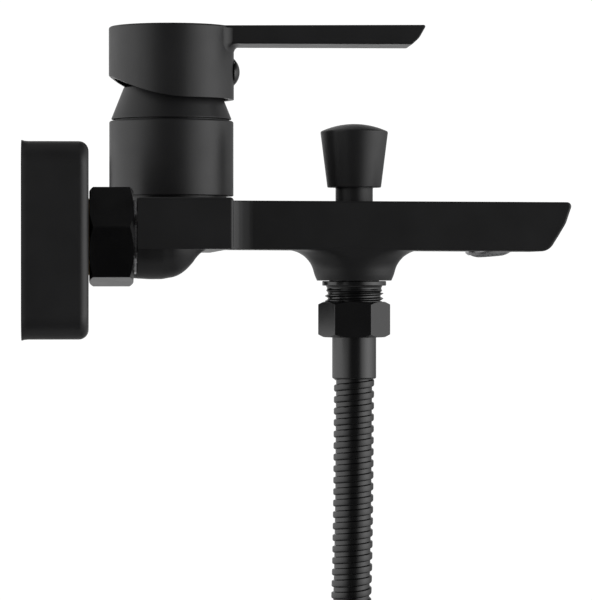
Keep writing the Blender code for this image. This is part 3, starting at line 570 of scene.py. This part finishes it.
def mixer_body():
    """The casting: bar, elbows, spout, boss and neck, with its bores."""
    casting = bar()
    neck = rod("neck", NECK_R, 0.0122, 0.0414, FINE, (HOUSING_X, 0, 0))
    join(casting, elbow(-1), elbow(1), root_fillet(), spout(), boss(), neck)
    cut(casting,
        rod("chamber", CHAMBER_R, 0.0146, 0.05, FINE, (HOUSING_X, 0, 0)),
        *(rod("inlet", INLET_BORE, 0.030, 0.050, ROUND, (0, y, 0), ALONG_X)
          for y in (-INLET_Y, INLET_Y)),
        turned("diverter_bore",
               [(0, 0.0200), (0.0081, 0.0200), (0.0081, 0.0044), (0.0063, 0.0044), (0.0063, 0.0030),
                (0.0092, 0.0030), (0.0092, -0.0200), (0, -0.0200)], ROUND, (DIVERTER_X, 0, 0)),
        rod("aerator_bore", 0.0092, -0.010, 0.0128, ROUND, AERATOR_AT, AERATOR_AXIS))
    show(casting, "mixer_body")


def housing():
    """The sleeve on the neck, and the cone ring on top of it."""
    at = (HOUSING_X, 0, 0)
    outer = rounded([(0.0204, 0.0419), (0.0220, 0.0419), (0.0220, 0.0153), (0.0199, 0.0153),
                     (0.0199, 0.0414)], [0, 0.0007, 0.0003, 0, 0], 4)
    show(turned("sleeve", outer, FINE, at, ring=True), "housing_sleeve")
    cone = rounded([(0.0168, 0.0539), (0.0214, 0.0424), (0.0196, 0.0424), (0.0196, 0.0417),
                    (0.0190, 0.0417), (0.0190, 0.0428), (0.0152, 0.0539)],
                   [0.0007, 0.0003, 0, 0, 0, 0, 0], 4)
    show(turned("cone", cone, FINE, at, ring=True), "cartridge_cover_ring")


# ---------------------------------------------------------------- the lever
HEAD_R, HEAD_LOW, HEAD_TOP = 0.02215, 0.0495, 0.0752
BLADE_LOW, BLADE_TOP, BLADE_FILLET_R = 0.0687, 0.0752, 0.0032
BLADE_WIDTH = 0.022


def blade():
    """The flat blade, drawn from the side, with its slanting tip."""
    root_x, tip_x, tip_z = 0.0160, 0.0898, 0.0757
    corners = [(root_x, BLADE_LOW), (root_x, BLADE_TOP), (tip_x, tip_z),
               (tip_x - 0.0026, tip_z - 0.0046), (0.0847, 0.0688)]
    outline = rounded(corners, [0, 0, 0.0006, 0.006, 0.0008], 8)
    return bevel(plate("blade", outline, BLADE_WIDTH, (HOUSING_X, 0, 0), SIDEWAYS), 0.0006)


def blade_root():
    """The hollow flare by which the head melts into the blade's underside and its two sides."""
    half, top = BLADE_WIDTH / 2, BLADE_TOP - 0.0009
    sink = 0.00004                 # so that it starts just inside the head and the blade
    under_r, side_r, corner_r, steps = BLADE_FILLET_R, 0.0026, 0.0008, 16
    low, inner_x = BLADE_LOW + sink, 0.0100
    section = [((half - sink, z), (1, 0)) for z in (top, (top + low) / 2)]
    section += [((half - sink - corner_r * (1 - math.cos(a)), low + corner_r * (1 - math.sin(a))),
                 (math.cos(a), math.sin(a))) for a in (math.pi / 2 * k / 8 for k in range(9))]
    section += [((y, low), (0, 1)) for y in (0.0085, 0.0065, 0.0043, 0.0021)]
    section += [((-y, z), (-ny, nz)) for (y, z), (ny, nz) in reversed(section)]
    rings = []
    for k in range(-1, steps + 1):
        a = math.pi / 2 * max(k, 0) / steps
        ring = []
        for (y, z), (ny, nz) in section:
            reach = under_r + (side_r - under_r) * abs(ny)
            out = reach * (1 - math.sin(a))
            y, z = y + ny * out, z - nz * out
            x = math.sqrt(HEAD_R ** 2 - y * y) - sink + reach * (1 - math.cos(a))
            ring.append((inner_x if k < 0 else x, y, z))
        rings.append(ring)
    return loft("blade_root", rings, (HOUSING_X, 0, 0))


def lever():
    """The round head with its blade, swept underside and socket, and the plug over its screw."""
    at = (HOUSING_X, 0, 0)
    head = [(0, HEAD_TOP), (HEAD_R, HEAD_TOP), (HEAD_R, 0.0475), (0.0202, 0.0475), (0.0202, 0.0715),
            (0.0070, 0.0715), (0.0070, 0.0563), (0, 0.0563)]
    head = rounded(head, [0, 0.0008, 0, 0, 0.001, 0.001, 0, 0], 5, loop=False)
    handle = turned("handle", head, FINE, at)
    join(handle, blade(), blade_root())

    flat_to, radius = 0.0064, 0.052
    sweep = arc((flat_to, HEAD_LOW + radius), radius, -90, -130, 40)
    underside = [(0.030, HEAD_LOW)] + sweep + [(sweep[-1][0], 0.040), (0.030, 0.040)]
    socket = 0.0043
    cut(handle,
        plate("underside", underside, 0.06, at, SIDEWAYS),
        box("socket", (HOUSING_X - socket, -socket, 0.0500), (HOUSING_X + socket, socket, 0.0672)),
        rod("screw_hole", 0.0028, 0.0030, 0.0120, SMALL, (HOUSING_X, 0, GRUB_Z), ALONG_X),
        rod("plug_hole", 0.0033, 0.0150, 0.0260, SMALL, (HOUSING_X, 0, GRUB_Z), ALONG_X))
    show(handle, "lever_handle")

    dome_r, apex, rim_x = 0.00646, 0.02425, 0.02222
    dome = cap(dome_r, apex, math.acos(1 - (apex - rim_x) / dome_r), 14)
    plug = turned("plug", dome + [(0.0030, rim_x), (0.0030, 0.0206), (0, 0.0206)],
                  SMALL, (HOUSING_X, 0, GRUB_Z), ALONG_X)
    show(plug, "index_plug")


# ---------------------------------------------------------------- the diverter
def diverter():
    """The pull knob with its slightly domed crown, and the bonnet below it."""
    at = (DIVERTER_X, 0, 0)
    rim_r, rim_z, foot_r, foot_z, apex = 0.0120, 0.0384, 0.0096, 0.0185, 0.0411
    crown_r = (rim_r ** 2 + (apex - rim_z) ** 2) / (2 * (apex - rim_z))
    crown = cap(crown_r, apex, math.asin((rim_r - 0.0004) / crown_r), 16)
    edge = [(rim_r - 0.00012, rim_z), (rim_r, rim_z - 0.0004)]
    foot = [(foot_r, foot_z + 0.0004), (foot_r - 0.0001, foot_z + 0.0001),
            (foot_r - 0.0004, foot_z)]
    bore = [(0.0070, foot_z), (0.0070, 0.0330), (0.0028, 0.0330), (0.0028, 0.0370), (0, 0.0370)]
    show(turned("knob", crown + edge + foot + bore, ROUND, at), "diverter_knob")
    bonnet = rounded([(0.00665, 0.0310), (0.00665, 0.0131), (0.0078, 0.0131), (0.0078, 0.0082),
                      (0.0028, 0.0082), (0.0028, 0.0286), (0.0046, 0.0286), (0.0046, 0.0310)],
                     [0.0005, 0, 0.0002, 0.0002, 0, 0, 0, 0], 4)
    show(turned("bonnet", bonnet, ROUND, at, ring=True), "diverter_bonnet")


# ---------------------------------------------------------------- the spiral pieces
def frames_along(path):
    """A path's points, the distance to each, and two directions square to it that don't twist."""
    points = [Vector(p) for p in path]
    along, ways = [0.0], []
    for p, q in zip(points, points[1:]):
        along.append(along[-1] + (q - p).length)
        ways.append((q - p).normalized())
    ways.append(ways[-1])
    side = ways[0].orthogonal().normalized()
    frames = []
    for way in ways:
        side = (side - way * side.dot(way)).normalized()
        frames.append((side, way.cross(side)))
    return points, along, frames


def spiral_tube(name, path, profile, pitch, per_turn):
    """A closed tube along a path, whose radius repeats along a helix.

    The profile's points are (share of the pitch, radius), and rows of faces follow the helix, so
    its ridges stay sharp. Both ends are cut square.
    """
    points, along, frames = frames_along(path)
    length = along[-1]
    shares = [share for share, _ in profile] + [1.0]
    radii = [radius for _, radius in profile] + [profile[0][1]]

    def radius_at(phase):
        phase %= 1.0
        for k in range(len(shares) - 1):
            if phase <= shares[k + 1]:
                part = (phase - shares[k]) / (shares[k + 1] - shares[k])
                return radii[k] + (radii[k + 1] - radii[k]) * part
        return radii[-1]

    sheet = bmesh.new()
    rows, k = [], 0
    for i in range(int((length / pitch + 2) * per_turn)):
        angle = 2 * math.pi * (i % per_turn) / per_turn
        turn = i / per_turn - 1
        row = []
        start = k
        for share in shares:
            goal = (turn + share) * pitch
            at = min(max(goal, 0.0), length)
            while k < len(along) - 2 and along[k + 1] < at:
                k += 1
            part = (at - along[k]) / (along[k + 1] - along[k])
            side, up = frames[k]
            phase = at / pitch - turn if at != goal else share if share < 1 else 0
            radius = radius_at(phase)
            centre = points[k].lerp(points[k + 1], part)
            outward = side * math.cos(angle) + up * math.sin(angle)
            row.append(sheet.verts.new(centre + outward * radius))
        k = max(0, start - 1)
        rows.append(row)
    for a, b in zip(rows, rows[1:]):
        for j in range(len(shares) - 1):
            sheet.faces.new((a[j], a[j + 1], b[j + 1], b[j]))
    bmesh.ops.remove_doubles(sheet, verts=sheet.verts, dist=WELD)
    bmesh.ops.dissolve_degenerate(sheet, edges=sheet.edges, dist=WELD)
    rim = [edge for edge in sheet.edges if edge.is_boundary]
    bmesh.ops.holes_fill(sheet, edges=rim, sides=0)
    bmesh.ops.recalc_face_normals(sheet, faces=sheet.faces)
    return new_object(name, sheet)


def shower_outlet():
    """The threaded outlet under the boss, with a collar above its thread."""
    at = (DIVERTER_X, 0, 0)
    body = rounded([(0.0114, -0.01475), (0.0114, -0.0164), (0.0101, -0.0164), (0.0096, -0.0173),
                    (0.0100, -0.0182), (0.0094, -0.0188), (0.0094, -0.0219), (0.0099, -0.0219),
                    (0.0099, -0.0265), (0.0070, -0.0265), (0.0070, -0.0105), (0.0089, -0.0105),
                    (0.0089, -0.01475)],
                   [0.0003, 0.0003, 0.0001, 0.0008, 0.0002, 0.0001, 0,
                    0, 0.0004, 0.0003, 0.0003, 0.0003, 0], 4)
    nipple = turned("nipple", body, ROUND, at, ring=True)
    crest, root, pitch = 0.01040, 0.00935, 0.001814
    profile = [(0.0, root), (0.10, root), (0.44, crest), (0.56, crest), (0.90, root)]
    run = [(DIVERTER_X, 0, -0.0189), (DIVERTER_X, 0, -0.0222)]
    thread = spiral_tube("thread", run, profile, pitch, 64)
    cut(thread, rod("core", 0.0080, -0.03, 0.0, ROUND, at))
    join(nipple, thread)
    show(nipple, "shower_outlet_nipple", angle=50)


def six_sided_nut(node, at, axis, ends, flats, turn, edge, chamfer, bore):
    """A six-sided nut, chamfered at both ends, round a bore given as (radius, height) points."""
    low, high = ends
    corner, flat = flats / 2 / math.cos(math.pi / 6), flats / 2 - 0.0001
    outside = [(flat, high), (corner, high - chamfer), (corner, low + chamfer), (flat, low)]
    made = turned("nut", outside + bore, FINE, at, axis, ring=True)
    corners = [(corner * math.cos(a), corner * math.sin(a))
               for a in (turn + k * math.pi / 3 for k in range(6))]
    middle = placed(at, axis) @ Vector((0, 0, (low + high) / 2))
    hexagon = rounded(corners, [edge] * 6, 4)
    keep(made, plate("flats", hexagon, 2 * (high - low), middle, axis))
    show(made, node, angle=25)


def hose_nut():
    """The nut under the outlet, which holds the hose's ferrule."""
    low, high, rest = -0.0347, -0.0221, -0.0313
    bore = [(FERRULE_BORE, low), (FERRULE_BORE, rest), (0.0102, rest), (0.0102, high)]
    six_sided_nut("hose_nut", (DIVERTER_X, 0, 0), UPRIGHT, (low, high), flats=0.0223,
                  turn=math.radians(-6.8), edge=0.0003, chamfer=0.0010, bore=bore)


def ferrule_profile(top, collar, foot):
    """A smooth sleeve with a collar inside the nut and a rolled lower edge."""
    return rounded([(0.0094, top), (0.0094, collar), (FERRULE_R, collar), (FERRULE_R, foot),
                    (0.0050, foot), (0.0050, top)], [0.0003, 0.0002, 0.0002, 0.0006, 0, 0], 4)


def hose_ferrule():
    """The sleeve that clamps the hose below its nut."""
    profile = ferrule_profile(-0.0291, -0.0310, -0.0495)
    show(turned("ferrule", profile, ROUND, (DIVERTER_X, 0, 0), ring=True), "hose_ferrule")


def coil_point(turns):
    """A point on the coil's centre line, which steps aside on the last quarter turn."""
    angle = COIL_START - 2 * math.pi * turns
    quarter = 0.25
    last = COIL_TURNS - quarter
    late = max(0.0, (turns - last) / quarter)
    aside = COIL_STEP_OUT * late * late * (3 - 2 * late)
    return (COIL_X + COIL_PITCH * min(turns, last) + aside,
            COIL_R * math.cos(angle), COIL_Z + COIL_R * math.sin(angle))


def hose_line():
    """The hose's whole centre line: the listed route, then the turns of the coil."""
    per_turn = 24
    turns = [coil_point(i / per_turn) for i in range(int(COIL_TURNS * per_turn) + 1)]
    return smooth_line(HOSE_ROUTE + turns + [coil_point(COIL_TURNS)], 12)


def hose():
    """The wound steel hose on its path, with its tie, and the ferrule and cone nut at its end."""
    line = hose_line()
    ridge, groove, per_turn = HOSE_R, HOSE_R - 0.00075, 24
    profile = [(0.0, groove), (0.34, groove), (0.42, ridge - 0.0001), (0.50, ridge), (0.86, ridge),
               (0.95, ridge - 0.00025)]
    made = spiral_tube("hose", line, profile, HOSE_PITCH, per_turn)
    show(made, "shower_hose", "hose_coil", "hose_tail", angle=40)

    end = Vector(coil_point(COIL_TURNS))
    sleeve = [(r, -h) for r, h in ferrule_profile(-0.0205, -0.0186, -0.0001)]
    ferrule = turned("end_ferrule", sleeve, ROUND, end, FORWARDS, ring=True)
    show(ferrule, "hose_end_ferrule")
    cone = rounded([(0.0118, 0.0330), (0.0118, 0.0288), (0.0091, 0.0007), (FERRULE_BORE, 0.0007),
                    (FERRULE_BORE, 0.0183), (0.0102, 0.0183), (0.0102, 0.0330)],
                   [0.0006, 0.0008, 0.0004, 0.0002, 0, 0, 0.0002], 5)
    nut = turned("cone_nut", cone, ROUND, end, FORWARDS, ring=True)
    show(nut, "hose_cone_nut")
    tie = hose_tie()


def hose_tie():
    """A rubber strap round the top of the coil."""
    low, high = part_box("hose_tie")
    middle = (low + high) / 2
    half_x, half_z, strap, corner_r = (high.x - low.x) / 2, (high.z - low.z) / 2, 0.0014, 0.006
    corners = [(-half_x, -half_z), (half_x, -half_z), (half_x, half_z), (-half_x, half_z)]
    outer = rounded(corners, [corner_r] * 4, 8)
    inner = [(x * (1 - strap / half_x), z * (1 - strap / half_z)) for x, z in outer]
    band = bevel(plate("band", outer, high.y - low.y, middle, SIDEWAYS), 0.0005, 3)
    cut(band, plate("hole", inner, 0.04, middle, SIDEWAYS))
    show(band, "hose_tie")
    return band


# ---------------------------------------------------------------- the aerator
HOLE_R = 0.00045
HOLE_RINGS = ((0.0, 1), (0.0016, 6), (0.0032, 12), (0.0047, 18), (0.0060, 24))    # (radius, holes)


def aerator():
    """The ring in the spout's underside and its screen, which is pierced all over."""
    profile = rounded([(0.0088, 0.0086), (0.0088, -0.0002), (0.0079, -0.0010), (0.0075, -0.0010),
                       (0.0075, 0.0050), (0.0062, 0.0056), (0.0062, 0.0086)],
                      [0.0004, 0.0004, 0.0002, 0.0001, 0, 0, 0], 5)
    ring = turned("aerator_ring", profile, FINE, AERATOR_AT, AERATOR_AXIS, ring=True)
    show(ring, "aerator_housing")

    dome = [(0.0071, 0.0044), (0.0071, -0.0010), (0.0064, -0.0014), (0.0056, -0.0017),
            (0.0044, -0.0020), (0.0022, -0.00207), (0, -0.0021)]
    screen = turned("aerator_screen", [(0, 0.0044)] + dome, ROUND, AERATOR_AT, AERATOR_AXIS)
    place = placed(AERATOR_AT, AERATOR_AXIS)
    holes = []
    for ring_r, count in HOLE_RINGS:
        for k in range(count):
            turn = 2 * math.pi * k / count
            hole = rod("hole", HOLE_R, -0.0030, 0.0030, 8)
            aside = Matrix.Translation((ring_r * math.cos(turn), ring_r * math.sin(turn), 0))
            hole.data.transform(place @ aside)
            holes.append(hole)
    cut(screen, *holes)
    show(screen, "aerator_insert")


# ---------------------------------------------------------------- the wall connections
def rosette(node, y):
    """A square shell with softly rounded front edges and a thin rolled lip at the wall."""
    half, depth, wall, drop = 0.0324, 0.0217, 0.0016, -0.0014
    corner_r, inset, edge = 0.008, 0.0003, 0.0032
    corners = [(-half, -half), (half, -half), (half, half), (-half, half)]
    plan = rounded(corners, [corner_r] * 4, 12)
    steps = [(0, 0), (0.0004, 0), (0.0009, 0.0002), (0.0022, inset), (depth - edge, inset)]
    steps += arc((depth - edge, inset + edge), edge, -90, 0, 8)[1:]
    rings = []
    for x, step_in in steps:
        shrink = 1 - step_in / half
        rings.append([(x, y + u * shrink, drop + v * shrink) for u, v in plan])
    shell = loft("rosette", rings)
    inner = 1 - (wall + inset) / half
    inside = [(u * inner, v * inner) for u, v in plan]
    cut(shell,
        plate("hollow", inside, depth, (depth / 2 - wall, y, drop), FACING_X),
        rod("hole", 0.0131, 0.01, 0.03, FINE, (0, y, 0), ALONG_X))
    show(shell, node)


def union_nut(node, y):
    """The nut between a rosette and its elbow."""
    low, high, rest = 0.0219, 0.0365, 0.0333
    bore = [(0.0130, low), (0.0130, rest), (0.0111, rest), (0.0111, high)]
    six_sided_nut(node, (0, y, 0), ALONG_X, (low, high), flats=0.0303,
                  turn=math.radians(19.8), edge=0.0004, chamfer=0.0013, bore=bore)


def finish_cad_nodes():
    """The CAD nodes that no finer piece stands for get their material too."""
    for name, node in frame["nodes"].items():
        node.data.materials.clear()
        node.data.materials.append(LOOKS[SLOT_OF[name]])


camera()
hose()
studio()
floor()
mixer_body()
housing()
lever()
diverter()
shower_outlet()
hose_nut()
hose_ferrule()
aerator()
for side, side_y in (("hot", -INLET_Y), ("cold", INLET_Y)):
    rosette(side + "_rosette", side_y)
    union_nut(side + "_union_nut", side_y)
finish_cad_nodes()
